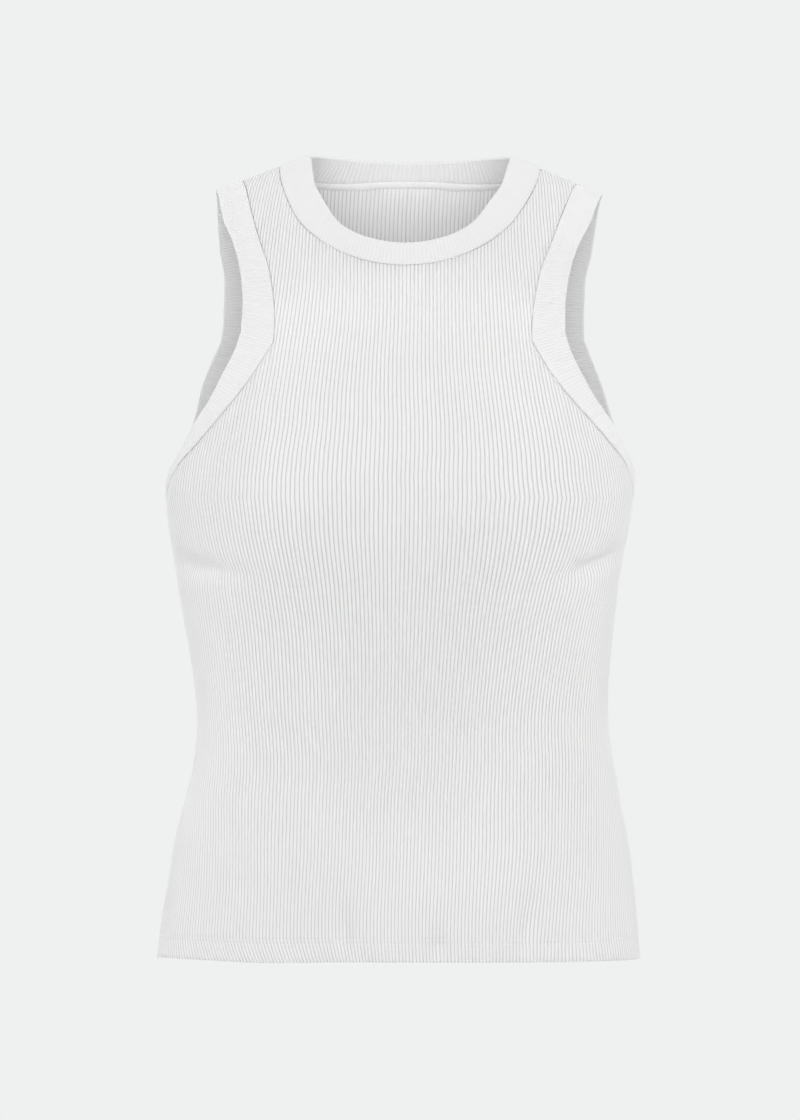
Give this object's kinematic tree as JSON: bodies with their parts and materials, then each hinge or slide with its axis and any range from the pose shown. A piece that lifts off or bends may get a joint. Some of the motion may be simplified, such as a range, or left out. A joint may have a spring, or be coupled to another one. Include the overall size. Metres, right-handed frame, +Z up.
{
  "type": "rib knit tank top",
  "caption": "Sleeveless rib knit top with a high round neck and cut-away shoulders, hollow, in the shape it keeps when worn.",
  "frame": {"origin": "on the shoulder line, midway between the two highest points of the neck edge", "axes": "+Z up, the front faces -Y, +X to the right as seen from the front"},
  "size_m": [0.3378, 0.2228, 0.5627],
  "materials": {
    "rib_knit": "matt white cotton rib knit",
    "band_knit": "matt white doubled rib knit"
  },
  "bodies": {
    "root": {"front": "rib_knit", "back": "rib_knit", "neckband": "band_knit", "armband_right": "band_knit", "armband_left": "band_knit"}
  },
  "joints": []
}
